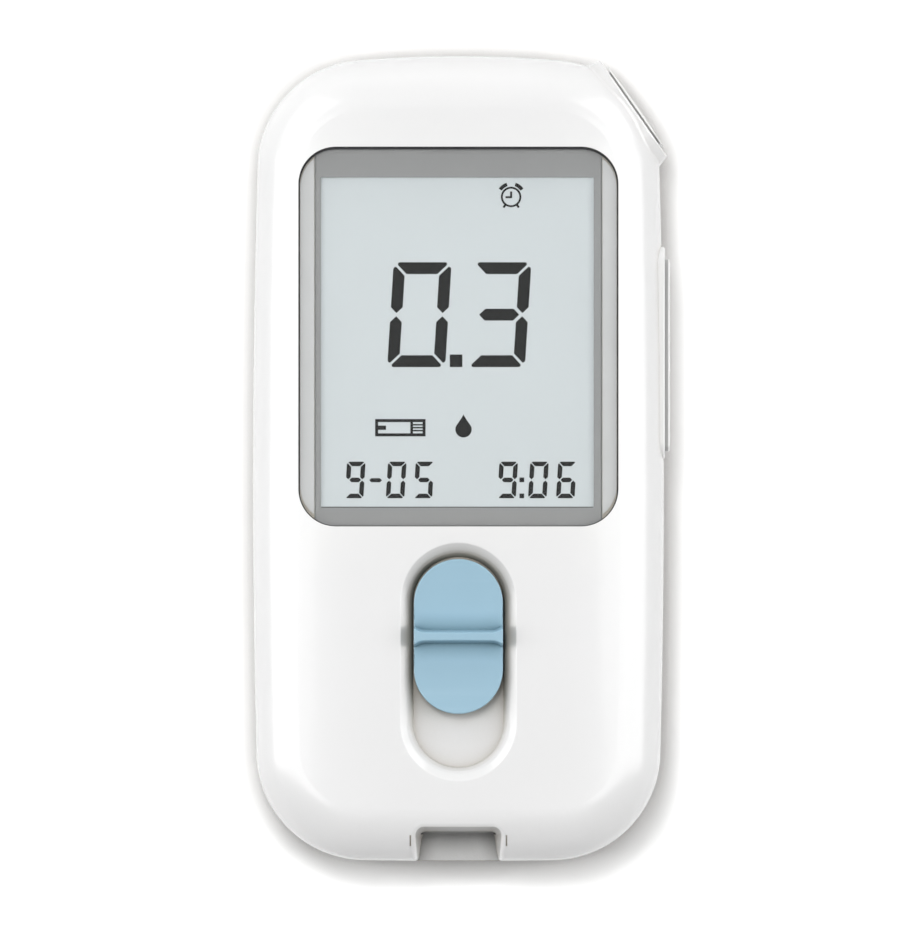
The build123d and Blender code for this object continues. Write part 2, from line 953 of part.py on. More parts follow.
def ejector_pusher():
    """The bar under the board that pushes the strip out, with a wing for its spring."""
    bar = block(
        -pusher_half_width,
        pusher_half_width,
        pusher_front_y,
        pusher_back_y,
        pusher_bottom_z,
        pusher_top_z,
    )
    wing = block(
        wing_left_x, -pusher_half_width, wing_front_y, pusher_back_y, pusher_bottom_z, pusher_top_z
    )
    finger = block(
        -finger_half_width,
        finger_half_width,
        finger_tip_y,
        pusher_front_y,
        finger_low_z,
        finger_high_z,
    )
    socket = block(
        -arm_half_width - fit_gap,
        arm_half_width + fit_gap,
        arm_front_y - fit_gap,
        arm_back_y + fit_gap,
        pusher_bottom_z,
        pusher_top_z,
    )
    spigot = rod(
        ejector_spring_x,
        ejector_spring_z,
        wing_front_y - spigot_length,
        wing_front_y,
        ejector_spring_radius - ejector_spring_wire - slide_gap,
    )
    return bar + wing + finger + spigot - socket


def ejector_spring():
    length = wing_front_y - spring_post_y - 2 * (ejector_spring_wire + fit_gap / 2)
    start_y = spring_post_y + ejector_spring_wire + fit_gap / 2
    return coil(
        (ejector_spring_x, start_y, ejector_spring_z),
        length,
        1,
        ejector_spring_radius,
        ejector_spring_pitch,
        ejector_spring_wire,
    )


# ---- strip port ----
def port_section(half_back, half_mouth, back_y, radius, z):
    """One level of the notch: four corners, the inner two rounded."""
    mouth_y = -half_length - wall
    plan = make_face(
        Polyline(
            (-half_back, back_y), (half_back, back_y), (half_mouth, mouth_y), (-half_mouth, mouth_y),
            close=True,
        )
    )
    inner = plan.vertices().sort_by(Axis.Y)[-2:]
    return Pos(0, 0, z) * fillet(inner, radius)


def port_notch():
    """What the notch removes from the front cover, above the port's floor."""
    floor = port_section(
        port_floor_half_width, port_mouth_half_width, port_back_y, port_floor_radius, port_floor_z
    )
    top = port_section(
        port_top_half_width, port_top_half_width, port_top_back_y, port_corner_radius, face_z
    )
    return loft([floor, top])


def port_guide_room(gap):
    """The room that the strip port guide takes in the covers."""
    slab = block(
        -guide_slab_half_width - gap,
        guide_slab_half_width + gap,
        -half_length - wall,
        guide_back_y,
        guide_bottom_z - gap,
        port_floor_z + gap,
    )
    return slab + block(
        -guide_half_width - gap,
        guide_half_width + gap,
        guide_front_y - 4 * gap,
        guide_back_y,
        guide_bottom_z - gap,
        guide_top_z + gap,
    )


def strip_channel(y_low, y_high):
    """The room that a strip takes between two places along its way in."""
    half = strip_half_width
    return block(-half, half, y_low, y_high, port_floor_z, port_floor_z + strip_channel_height)


def strip_port_guide():
    """The tongue that a strip is laid on, and the flared mouth that leads it in."""
    guide = port_guide_room(0) & pebble(fit_gap)
    mouth = Rectangle(
        2 * (strip_half_width + strip_flare), 2 * (strip_channel_height + strip_flare)
    )
    mouth_plane = Plane(origin=(0, guide_front_y, port_floor_z), x_dir=(1, 0, 0), z_dir=(0, 1, 0))
    flare = mouth_plane * extrude(mouth, 2 * strip_flare, taper=strip_flare_angle)
    flare &= block(-guide_half_width, guide_half_width, -half_length, 0, port_floor_z, face_z)
    return guide - strip_channel(guide_front_y - wall, guide_back_y + wall) - flare


def strip_connector():
    """The socket behind the port, hollow behind its front lip for the contact fingers."""
    body = block(
        -connector_half_width,
        connector_half_width,
        connector_front_y,
        connector_back_y,
        connector_bottom_z,
        board_bottom_z,
    )
    chamber = block(
        -strip_half_width,
        strip_half_width,
        connector_front_y + connector_lip,
        connector_back_y + wall,
        port_floor_z,
        board_bottom_z - connector_roof,
    )
    return body - strip_channel(connector_front_y - wall, connector_back_y + wall) - chamber


def contact_finger(x):
    """One sprung finger: a tail behind the connector, then down to the strip and up again."""
    half = contact_finger_thickness / 2
    low_z = port_floor_z + contact_finger_low
    tail_z = board_bottom_z - half
    knee_z = board_bottom_z - contact_finger_knee
    low_y = connector_front_y + contact_finger_reach
    line = Polyline(
        (connector_back_y + contact_finger_tail, tail_z),
        (connector_back_y + 4 * half, tail_z),
        (connector_back_y + half, knee_z),
        (connector_back_y - contact_finger_knee, knee_z),
        (low_y, low_z),
        (low_y - contact_finger_knee, low_z + contact_finger_rise),
    )
    band = trace(line, contact_finger_thickness)
    return Pos(x, 0, 0) * extrude(Plane.YZ * band, contact_finger_width / 2, both=True)


def strip_contacts():
    fingers = [contact_finger(x) for x in contact_finger_spots]
    return Compound(children=fingers)


# ---- side rocker ----
def side_key_bezel():
    """The frame in the side that the rocker turns in, with an ear at each side for its pin."""
    shift = key_bezel_y - key_y
    frame = Pos(shift, 0, key_lip_back_x) * extrude(
        RectangleRounded(key_bezel_length, key_bezel_height, key_bezel_radius),
        key_bezel_face_x - key_lip_back_x,
    )
    frame = chamfer(frame.faces().sort_by(Axis.Z)[-1].edges(), key_bezel_edge)
    lip = RectangleRounded(
        key_bezel_length + 2 * key_lip, key_bezel_height + 2 * key_lip, key_bezel_radius
    )
    frame += Pos(shift, 0, key_lip_back_x) * extrude(lip, key_bezel_back_x - key_lip_back_x)
    window = RectangleRounded(
        key_length + 2 * key_window_gap, key_height + 2 * key_window_gap, key_radius + key_window_gap
    )
    ear_low = key_height / 2 + key_window_gap
    half = key_ear_half_length
    for way in (-1, 1):
        y_low = min(way * ear_low, way * key_ear_end)
        y_high = max(way * ear_low, way * key_ear_end)
        frame += block(-half, half, y_low, y_high, key_ear_back_x, key_bezel_back_x)
    frame -= Pos(0, 0, key_ear_back_x) * extrude(window, key_face_x - key_ear_back_x)
    bore = Cylinder(key_pin_radius + fit_gap, 2 * key_bezel_height)
    return side_plane * (frame - Pos(0, 0, key_pivot_x) * Rot(90, 0, 0) * bore)


def rocker_plate(x_low, x_high):
    """A slice of the rocker's long rounded shape."""
    return Pos(0, 0, x_low) * extrude(
        RectangleRounded(key_length, key_height, key_radius), x_high - x_low
    )


def side_rocker():
    """The rocker's grey core: its web and pin, and a stem for each switch."""
    rocker = rocker_plate(key_back_x, key_cap_x)
    rocker += block(
        -key_web_half_length,
        key_web_half_length,
        -key_height / 2,
        key_height / 2,
        key_web_back_x,
        key_back_x,
    )
    rocker += Pos(0, 0, key_pivot_x) * Rot(90, 0, 0) * Cylinder(key_pin_radius, 2 * key_pin_end)
    stem_end_x = switch_face_x + plunger_proud + fit_gap
    for way in (-1, 1):
        stem = block(
            -key_stem_half_width,
            key_stem_half_width,
            -key_stem_half_height,
            key_stem_half_height,
            stem_end_x,
            key_back_x,
        )
        rocker += Pos(way * switch_spread, plunger_z - key_z, 0) * stem
    return side_plane * rocker


def side_rocker_cap():
    """The white plate on the rocker's outer side."""
    plate = rocker_plate(key_cap_x, key_face_x)
    return side_plane * fillet(plate.faces().sort_by(Axis.Z)[-1].edges(), key_edge_radius)


# ---- push switches ----
def push_switch(front):
    """A switch body. Its front face is at local z = front, its button's line at local y = 0."""
    low = switch_bottom_z - plunger_z
    high = board_bottom_z - plunger_z
    body = Pos(0, (low + high) / 2, front - switch_depth / 2) * Box(
        2 * switch_half_length, high - low, switch_depth
    )
    bore = Cylinder(plunger_radius + fit_gap, 2 * plunger_bore_depth)
    return body - Pos(0, 0, front) * bore


def switch_plunger(front):
    """A switch's own button, part of it inside the switch."""
    length = plunger_proud + plunger_inside
    return Pos(0, 0, front + plunger_proud - length / 2) * Cylinder(plunger_radius, length)


def side_switch_place(way):
    return side_plane * Pos(way * switch_spread, plunger_z - key_z, 0)


corner_switch_place = corner_plane * Pos(0, plunger_z - corner_z, 0)
corner_switch_front = corner_flange_back - corner_stem_reach - plunger_proud


def corner_button():
    """The corner button: a domed cap over the facet, a neck through it and a flange behind."""
    cap = RectangleRounded(corner_cap_length, corner_cap_height, corner_cap_radius)
    cap = Pos(0, 0, corner_cap_back) * extrude(cap, corner_cap_rise)
    dome = Rot(90, 0, 0) * Cylinder(corner_dome_radius, 2 * corner_cap_length)
    cap &= Pos(0, 0, corner_cap_rise - corner_dome_radius) * dome
    neck = RectangleRounded(corner_neck_length, corner_neck_height, corner_neck_radius)
    cap += Pos(0, 0, corner_neck_root) * extrude(neck, corner_cap_back - corner_neck_root)
    flange = RectangleRounded(corner_flange_length, corner_flange_height, corner_neck_radius)
    cap += Pos(0, 0, corner_flange_back) * extrude(flange, corner_neck_root - corner_flange_back)
    stem_back = corner_switch_front + plunger_proud + fit_gap
    half_long = corner_stem_length / 2
    half_high = corner_stem_height / 2
    stem = block(-half_long, half_long, -half_high, half_high, stem_back, corner_flange_back)
    return corner_plane * (cap + Pos(0, plunger_z - corner_z, 0) * stem)


# ---- screws ----
def screw(x, y, seat_z, tip_z, shank, head, head_height):
    """A pan-head screw put in from the back."""
    low = seat_z - head_height
    body = post(x, y, low, seat_z, head)
    body = fillet(body.faces().sort_by(Axis.Z)[0].edges(), head_height / 3)
    body += post(x, y, seat_z, tip_z, shank)
    half = screw_cross_width / 2
    reach = head / 2
    cross = block(x - reach, x + reach, y - half, y + half, low, low + head_height / 2)
    cross += block(x - half, x + half, y - reach, y + reach, low, low + head_height / 2)
    return body - cross


def housing_screws():
    places = [(x, y, low_seat_z) for x, y in low_screw_spots]
    places += [(x, y, top_seat_z) for x, y in top_screw_spots]
    return Compound(
        children=[
            screw(x, y, z, screw_tip_z, screw_radius, screw_head_radius, screw_head_height)
            for x, y, z in places
        ]
    )


def board_screws():
    return Compound(
        children=[
            screw(
                x,
                y,
                board_bottom_z,
                board_screw_tip_z - screw_tip_gap,
                board_screw_radius,
                board_screw_head_radius,
                board_screw_head_height,
            )
            for x, y in board_screw_spots
        ]
    )


# ---- covers ----
def slab(z_low, z_high):
    """Everything between two heights."""
    return block(-far, far, -far, far, z_low, z_high)


def port_marks():
    """Two shallow creases in the face, one at each side of the notch."""
    marks = Compound(
        children=[
            block(
                x - tick_width / 2,
                x + tick_width / 2,
                tick_y - tick_length / 2,
                tick_y + tick_length / 2,
                parting_z,
                face_z,
            )
            for x in (-tick_x, tick_x)
        ]
    )
    return marks - pebble(tick_depth)


def front_inner(z_low):
    """What stands inside the front cover: rims, the recess's skirt, the port's block and posts."""
    inner = window_plate(
        window_width + 2 * surround_rim,
        window_height + 2 * surround_end_rim,
        window_radius + surround_rim,
        surround_bottom_z,
        face_z,
    )
    inner += recess_skirt_block()
    inner += block(
        -port_block_half_width,
        port_block_half_width,
        -half_length,
        port_block_back_y,
        z_low,
        face_z,
    )
    for x, y in low_screw_spots + top_screw_spots:
        inner += post(x, y, z_low, face_z, front_boss_radius)
    for x, y in board_screw_spots:
        inner += post(x, y, board_top_z, face_z, board_boss_radius)
    return inner + (corner_backing(0) & slab(z_low, face_z))


def front_cover(body, cavity, keep):
    low_z = parting_z + parting_gap / 2
    cover = body & slab(low_z, far)
    cover -= cavity
    cover -= lip_ring(
        lip_outer_inset - fit_gap, wall + wall / 2, parting_z, parting_z + lip_height + slide_gap
    )
    cover += front_inner(low_z) & keep
    cover -= window_opening() + slider_recess() + stem_slot()
    cover -= port_notch()
    cover -= port_guide_room(fit_gap)
    cover -= port_marks()
    for x, y in low_screw_spots + top_screw_spots:
        cover -= post(x, y, parting_z, screw_tip_z + screw_tip_gap, screw_radius + fit_gap / 2)
    for x, y in board_screw_spots:
        cover -= post(x, y, board_bottom_z, board_screw_tip_z, board_screw_radius + fit_gap / 2)
    cover -= corner_opening() + key_opening()
    return cover


def rear_inner(z_high):
    """What stands inside the rear cover: the battery bay, posts, rails and the spring's post."""
    inner = bay_walls()
    for x, y in low_screw_spots + top_screw_spots:
        inner += post(x, y, 0, z_high, rear_boss_radius)
    for x in (-rail_x, rail_x):
        inner += block(
            x - rail_half_width,
            x + rail_half_width,
            rail_low_y,
            rail_high_y,
            0,
            pusher_bottom_z - fit_gap,
        )
    inner += block(
        wing_left_x,
        wing_left_x + 2 * (ejector_spring_x - wing_left_x),
        spring_post_y - spring_post_thickness,
        spring_post_y,
        0,
        pusher_top_z,
    )
    return inner + (corner_backing(0) & slab(0, z_high))


def rear_cover(body, cavity, keep):
    high_z = parting_z - parting_gap / 2
    cover = body & slab(-wall, high_z)
    cover -= cavity
    lip = lip_ring(
        lip_outer_inset, lip_inner_inset, parting_z - lip_height, parting_z + lip_height
    )
    lip -= block(
        -port_block_half_width - slide_gap,
        port_block_half_width + slide_gap,
        -half_length,
        port_block_back_y + slide_gap,
        high_z,
        face_z,
    )
    lip -= corner_backing(slide_gap) & slab(high_z, face_z)
    cover += lip
    cover += rear_inner(high_z) & keep
    cover -= door_opening() + bay_room()
    for x, y in low_screw_spots:
        cover -= post(x, y, -wall, low_seat_z, screw_head_radius + loose_gap)
    for x, y in top_screw_spots:
        cover -= post(x, y, -wall, top_seat_z, screw_head_radius + loose_gap)
    for x, y in low_screw_spots + top_screw_spots:
        cover -= post(x, y, 0, parting_z + wall, screw_radius + slide_gap)
    cover -= port_guide_room(fit_gap)
    cover -= corner_opening() + key_opening()
    return cover


os.makedirs("parts", exist_ok=True)
closed_body = outside()
inner_room = pebble(wall)
keep_in = pebble(lip_outer_inset)
save(front_cover(closed_body, inner_room, keep_in), "front_cover")
save(rear_cover(closed_body, inner_room, keep_in), "rear_cover")
save(battery_door(), "battery_door")
save(window_lens(), "window_lens")
save(lens_seal(), "lens_seal")
save(lens_tape(), "lens_tape")
save(display_bezel(), "display_bezel")
save(
    display_plate(polariser_trim, lcd_top_z, polariser_top_z, polariser_trim), "front_polariser"
)
save(display_plate(0, lcd_middle_z, lcd_top_z), "front_glass")
save(display_plate(lcd_contact_ledge, lcd_bottom_z, lcd_middle_z), "rear_glass")
save(
    display_plate(
        lcd_contact_ledge + reflector_trim, reflector_bottom_z, lcd_bottom_z, reflector_trim
    ),
    "reflector",
)
save(zebra_connector(), "zebra_connector")
save(main_board(), "main_board")
save(battery_cell(-cell_x, bay_high_y - contact_thickness - fit_gap / 2, 1), "battery_cell_left")
save(battery_cell(cell_x, bay_low_y + contact_thickness + fit_gap / 2, -1), "battery_cell_right")
save(end_contact(-cell_x), "battery_negative_contact")
save(end_contact(cell_x), "battery_positive_contact")
save(battery_bridge(), "battery_bridge")
save(battery_spring(-cell_x, bay_low_y + contact_thickness, 1), "battery_spring_low")
save(battery_spring(cell_x, bay_high_y - contact_thickness, -1), "battery_spring_high")
save(ejector_slider(), "ejector_slider")
save(ejector_carriage(), "ejector_carriage")
save(ejector_pusher(), "ejector_pusher")
save(ejector_spring(), "ejector_spring")
save(strip_port_guide(), "strip_port_guide")
save(strip_connector(), "strip_connector")
save(strip_contacts(), "strip_contacts")
save(side_key_bezel(), "side_key_bezel")
save(side_rocker(), "side_rocker")
save(side_rocker_cap(), "side_rocker_cap")
save(side_switch_place(1) * push_switch(switch_face_x), "up_switch")
save(side_switch_place(1) * switch_plunger(switch_face_x), "up_switch_plunger")
save(side_switch_place(-1) * push_switch(switch_face_x), "down_switch")
save(side_switch_place(-1) * switch_plunger(switch_face_x), "down_switch_plunger")
save(corner_button(), "corner_button")
save(corner_switch_place * push_switch(corner_switch_front), "corner_switch")
save(corner_switch_place * switch_plunger(corner_switch_front), "corner_switch_plunger")
save(housing_screws(), "housing_screws")
save(board_screws(), "board_screws")
buzzer_low_z = board_bottom_z - buzzer_height
buzzer = post(buzzer_x, buzzer_y, buzzer_low_z, board_bottom_z, buzzer_radius)
buzzer -= post(buzzer_x, buzzer_y, 0, buzzer_low_z + buzzer_hole_depth, buzzer_hole_radius)
save(buzzer, "buzzer")
processor = Pos(processor_x, processor_y, board_bottom_z - processor_height / 2)
save(processor * Box(processor_size, processor_size, processor_height), "processor")
signal_chip = Pos(signal_chip_x, signal_chip_y, board_bottom_z - signal_chip_height / 2)
save(signal_chip * Box(signal_chip_size, signal_chip_size, signal_chip_height), "signal_chip")
crystal = Pos(crystal_x, crystal_y, board_bottom_z - crystal_radius) * Rot(0, 90, 0)
save(crystal * Cylinder(crystal_radius, crystal_length), "crystal")
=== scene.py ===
import math

import bmesh
import bpy
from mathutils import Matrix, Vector


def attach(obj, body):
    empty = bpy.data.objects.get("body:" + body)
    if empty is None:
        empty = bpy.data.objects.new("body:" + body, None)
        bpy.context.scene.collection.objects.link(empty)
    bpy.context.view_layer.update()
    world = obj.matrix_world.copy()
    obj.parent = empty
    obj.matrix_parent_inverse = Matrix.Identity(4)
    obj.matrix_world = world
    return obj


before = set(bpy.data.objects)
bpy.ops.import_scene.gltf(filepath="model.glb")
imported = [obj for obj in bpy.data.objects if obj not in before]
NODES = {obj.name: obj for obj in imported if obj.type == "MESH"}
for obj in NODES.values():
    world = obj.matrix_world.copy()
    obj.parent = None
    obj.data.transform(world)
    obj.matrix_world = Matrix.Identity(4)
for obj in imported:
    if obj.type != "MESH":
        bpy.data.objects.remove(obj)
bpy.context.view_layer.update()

MM = 0.001

# ---------------------------------------------------------------- surfaces
NOISE_ROUGHNESS = 0.55
NOISE_LOW, NOISE_HIGH = 0.3, 0.7                  # where nearly all of a noise's values lie
DRIFT_SCALE = 90                                  # slow changes of colour
EDGE_START, EDGE_END = 0.50, 0.62                 # pointiness where rubbing starts and is full
WORN_SHARE = 0.6                                  # of the worn colour on a fully rubbed edge
SUBSURFACE_RADIUS = (0.0012, 0.0010, 0.0008)      # m, for red, green and blue

LENS_TINT = (0.985, 0.99, 0.99, 1.0)
LENS_GLOSS, LENS_SHEEN = 0.008, 0.3               # share reflected straight on and at a glance
SHEEN_POWER = 5.0                                 # how late the sheen sets in towards a glance

# ---------------------------------------------------------------- display marks, in millimetres
INK_GAP = 0.004                                   # between the display's face and the marks
INK_THICKNESS = 0.020
SLANT = 0.062                                     # how far digits lean to the right as they rise

READING_Y = 11.80
READING_SIZE = {"width": 7.48, "height": 13.52, "bar": 1.52}
READING_ZERO_X, READING_POINT_X, READING_THREE_X = -9.19, -1.11, 1.10
READING_POINT = 1.62                              # side of the square point

LOW_Y = -5.12                                     # foot of the date and the time
LOW_SIZE = {"width": 2.39, "height": 4.71, "bar": 0.58}
LOW_DIGITS = (("9", -14.66), ("0", -9.37), ("5", -5.79), ("9", 5.01), ("0", 8.98), ("6", 12.59))
DASH = {"x_low": -11.50, "x_high": -9.86, "y": -2.80, "half": 0.26}
COLON_X, COLON_DOT, COLON_HIGH_Y = 7.88, 0.60, -3.05

STRIP_X, STRIP_Y = (-10.74, -4.24), (2.86, 5.09)  # low and high sides
DROP = {"x": 0.66, "y": 3.77, "radius": 1.05, "tip": 5.71}
CLOCK_X, CLOCK_Y = 6.80, 33.75
PAINTED_SHADOW_LINE = (-17.7, 17.4, -6.36, -6.22)           # low and high x, low and high y of a dark line painted as the frame's shadow along the display's bottom edge

# Shares of a digit's bar width
DIGIT_GAP = 0.15                                  # between a side bar and the bar across its end
DIGIT_CORNER = 0.36                               # size of the outer corners' rounding
DIGIT_TIP = 0.135                                 # from a side bar's tip to the middle line
DIGIT_SHY = 0.26                                  # from the side bars to the middle bar's tips

# The bars of each digit: a top, b and c right, d bottom, e and f left, g middle
SEGMENTS = {"0": "abcdef", "3": "abcdg", "5": "acdfg", "6": "acdefg", "9": "abcdfg"}

# ---------------------------------------------------------------- table, room, lamps and camera
FLOOR_REACH = 3.0                                 # m, from the middle to each edge
FLOOR_DROP = 0.00002                              # m, below the object's flat back
FLOOR_WHITE = 1.56                                # shows as white under these lamps
CONTACT_REACH = 0.005                             # m, how far out the object's close shade goes
ROOM_LIGHT = 0.30                                 # on the object; where it shows it is 1

LAMP_TARGET = Vector((0.0, 0.0, 0.015))
# Place and size in metres, power in watts
LAMPS = (
    ("lamp_above", (-0.14, 0.24, 0.92), (0.26, 0.26), 2.65),
    ("lamp_top", (0.0, 0.84, 0.26), (0.90, 0.30), 2.1),
)
# The same for lamps in pairs, given for the right side, and whether they show only in reflections
LAMP_PAIRS = (
    ("lamp", (0.72, 0.0, 0.36), (0.36, 0.90), 2.7, False),
    ("gleam", (0.54, 0.0, 0.52), (0.36, 1.00), 3.2, True),
    ("gleam_high", (0.46, 0.32, 0.42), (0.40, 0.55), 2.0, True),
)

VIEW_SPAN = 0.1218                                # m, over the picture's height
VIEW_PLACE = (0.00040, -0.00174, 0.60)            # m, looking straight down


# ---------------------------------------------------------------- node trees
def srgb(r, g, b):
    """Screen values 0-255 as linear colour."""
    def channel(v):
        v = v / 255.0
        return v / 12.92 if v <= 0.04045 else ((v + 0.055) / 1.055) ** 2.4
    return (channel(r), channel(g), channel(b), 1.0)


def shade(colour, factor):
    """The colour made darker or lighter."""
    return tuple(min(1.0, c * factor) for c in colour[:3]) + (1.0,)


class Graph:
    """The node tree of a material or world, with short calls to add nodes and feed them."""

    def __init__(self, owner):
        owner.use_nodes = True
        self.tree = owner.node_tree
        self.tree.nodes.clear()

    def add(self, kind, inputs=None, **settings):
        """A new node. Each input, by name or number, takes a value or another node's output."""
        node = self.tree.nodes.new(kind)
        for key, value in settings.items():
            setattr(node, key, value)
        for key, value in (inputs or {}).items():
            if isinstance(value, bpy.types.NodeSocket):
                self.tree.links.new(value, node.inputs[key])
            else:
                node.inputs[key].default_value = value
        return node

    def math(self, operation, *values):
        """One step of arithmetic on values or outputs."""
        return self.add("ShaderNodeMath", dict(enumerate(values)), operation=operation).outputs[0]

    def spread(self, value, low, high, start=NOISE_LOW, end=NOISE_HIGH):
        """low where value is at start or less, high where it is at end or more."""
        node = self.add("ShaderNodeMapRange", {"Value": value, "From Min": start, "From Max": end,
                                               "To Min": low, "To Max": high})
        return node.outputs["Result"]

    def blend(self, factor, first, second, kind="RGBA"):
        """first where factor is 0, second where it is 1."""
        node = self.add("ShaderNodeMix", {"Factor": factor, "A": first, "B": second}, data_type=kind)
        return node.outputs["Result"]

    def blend_shaders(self, factor, first, second):
        node = self.add("ShaderNodeMixShader", {"Fac": factor, 1: first, 2: second})
        return node.outputs["Shader"]


class Surface(Graph):
    """A new material, patterned in the object's own coordinates."""

    def __init__(self, name):
        self.material = bpy.data.materials.new(name)
        super().__init__(self.material)
        self.place = self.add("ShaderNodeTexCoord").outputs["Object"]

    def finished(self, shader):
        """The material, with this shader as its surface."""
        self.add("ShaderNodeOutputMaterial", {"Surface": shader})
        return self.material

    def noise(self, scale, detail, stretch=None):
        """A cloudy pattern, drawn out along the axes where stretch is under 1."""
        place = self.place
        if stretch:
            place = self.add("ShaderNodeMapping", {"Vector": place, "Scale": stretch}).outputs["Vector"]
        node = self.add("ShaderNodeTexNoise", {"Vector": place, "Scale": scale, "Detail": detail,
                                               "Roughness": NOISE_ROUGHNESS})
        return node.outputs["Fac"]

    def bump(self, height, depth_mm, below=None):
        """A normal that follows height, on top of the bumps below."""
        inputs = {"Height": height, "Distance": depth_mm * MM}
        if below is not None:
            inputs["Normal"] = below
        return self.add("ShaderNodeBump", inputs).outputs["Normal"]

    def openness(self, reach_mm, closed):
        """1 in the open, less in hollows and next to other pieces, 0 where they close it in."""
        near = self.add("ShaderNodeAmbientOcclusion", {"Distance": reach_mm * MM}, samples=6)
        return self.spread(near.outputs["AO"], 0.0, 1.0, closed, 1.0)

    def edge(self):
        """1 along convex edges, where handling rubs the surface."""
        point = self.add("ShaderNodeNewGeometry").outputs["Pointiness"]
        return self.spread(point, 0.0, 1.0, EDGE_START, EDGE_END)


# ---------------------------------------------------------------- materials
def finish_material(name, colour, rough, vary=0.03, rough_vary=0.06, grain=(4200, 0.004),
                    swirl=(260, 0.01), metallic=0.0, specular=0.5, coat=0.0, coat_rough=0.08,
                    worn=None, stretch=None, subsurface=0.0, painted_shade=None):
    """A moulded or metal surface: slow colour drift, cloudy gloss, fine grain and rubbed edges.

    grain and swirl are the fine and the slow unevenness, each as noise scale and depth in mm.
    hollow is shade painted into the colour, and taken off the gloss and coat, next to other surfaces:
    reach in mm, the openness at which the painted shade is full, and the shade colour.
    """
    surface = Surface(name)
    drift = surface.spread(surface.noise(DRIFT_SCALE, 4.0), 0.0, 1.0)
    tone = surface.blend(drift, shade(colour, 1.0 - vary), shade(colour, 1.0 + vary))
    if worn:
        rubbed = surface.spread(surface.edge(), 0.0, WORN_SHARE, 0.0, 1.0)
        tone = surface.blend(rubbed, tone, worn)
    # Painted shade: the colour goes to the shade colour, and specular and coat fade, where other
    # surfaces close in
    if painted_shade:
        reach_mm, closed, shade_colour = painted_shade
        free = surface.openness(reach_mm, closed)
        tone = surface.blend(free, shade_colour, tone)
        specular = surface.spread(free, 0.0, specular, 0.0, 1.0)
        coat = surface.spread(free, 0.0, coat, 0.0, 1.0)
    cloud = surface.noise(swirl[0], 3.0)
    fine = surface.noise(grain[0], 2.0, stretch)
    inputs = {
        "Base Color": tone,
        "Metallic": metallic,
        "Specular IOR Level": specular,
        "Coat Weight": coat,
        "Coat Roughness": coat_rough,
        "Roughness": surface.spread(cloud, rough - rough_vary, rough + rough_vary),
        "Normal": surface.bump(fine, grain[1], below=surface.bump(cloud, swirl[1])),
    }
    if subsurface:
        inputs["Subsurface Weight"] = subsurface
        inputs["Subsurface Radius"] = SUBSURFACE_RADIUS
        inputs["Subsurface Scale"] = 1.0
    return surface.finished(surface.add("ShaderNodeBsdfPrincipled", inputs).outputs["BSDF"])


def board_material():
    """Green solder mask with copper shapes and the glass weave showing faintly through it."""
    mask, copper = (0.006, 0.105, 0.038, 1.0), (0.022, 0.205, 0.070, 1.0)
    copper_scale, weave_scale, weave_light = 420, 2600, 1.6
    copper_depth, weave_depth = 0.03, 0.006
    surface = Surface("green_board")
    cells = surface.add("ShaderNodeTexVoronoi", {"Vector": surface.place, "Scale": copper_scale},
                        feature="F1", distance="CHEBYCHEV")
    shape = surface.spread(cells.outputs["Distance"], 0.0, 1.0, 0.40, 0.44)
    weave = surface.noise(weave_scale, 2.0, stretch=(1.0, 1.0, 0.2))
    tone = surface.blend(surface.spread(weave, 0.0, 0.35),
                         surface.blend(shape, mask, copper), shade(mask, weave_light))
    shader = surface.add("ShaderNodeBsdfPrincipled", {
        "Base Color": tone,
        "Coat Weight": 0.5,
        "Coat Roughness": 0.12,
        "Roughness": surface.spread(weave, 0.28, 0.42),
        "Normal": surface.bump(shape, copper_depth, below=surface.bump(weave, weave_depth)),
    })
    return surface.finished(shader.outputs["BSDF"])


def cell_material():
    """A dry cell's printed sleeve: dark body, a warm band at the nub end, bare metal ends."""
    sleeve_dark, sleeve_light = (0.018, 0.020, 0.024, 1.0), (0.030, 0.032, 0.038, 1.0)
    band_colour, metal = (0.42, 0.16, 0.035, 1.0), (0.62, 0.61, 0.58, 1.0)
    left_band_y, right_band_y, band_edge = 0.0300, 0.0022, 0.0002
    surface = Surface("cell_jacket")
    place = surface.add("ShaderNodeSeparateXYZ", {"Vector": surface.place}).outputs
    normal = surface.add("ShaderNodeNewGeometry").outputs["Normal"]
    facing = surface.add("ShaderNodeSeparateXYZ", {"Vector": normal}).outputs
    end = surface.spread(surface.math("ABSOLUTE", facing["Y"]), 0.0, 1.0, 0.55, 0.75)
    drift = surface.noise(400, 3.0)
    sleeve = surface.blend(surface.spread(drift, 0.0, 1.0), sleeve_dark, sleeve_light)

    # The two cells lie opposite ways: the left one's nub is at its high y end
    side = surface.math("SIGN", place["X"])
    from_nub = surface.math("MULTIPLY", place["Y"], side)
    left_band = surface.spread(from_nub, 1.0, 0.0, -left_band_y, -left_band_y + band_edge)
    right_band = surface.spread(from_nub, 1.0, 0.0, right_band_y, right_band_y + band_edge)
    is_left = surface.spread(side, 1.0, 0.0, -1.0, 1.0)
    band = surface.blend(is_left, right_band, left_band, kind="FLOAT")
    tone = surface.blend(end, surface.blend(band, sleeve, band_colour), metal)
    shader = surface.add("ShaderNodeBsdfPrincipled", {
        "Base Color": tone,
        "Metallic": end,
        "Coat Weight": 0.6,
        "Coat Roughness": 0.1,
        "Roughness": surface.spread(drift, 0.22, 0.36),
        "Normal": surface.bump(surface.noise(3000, 2.0), 0.004),
    })
    return surface.finished(shader.outputs["BSDF"])


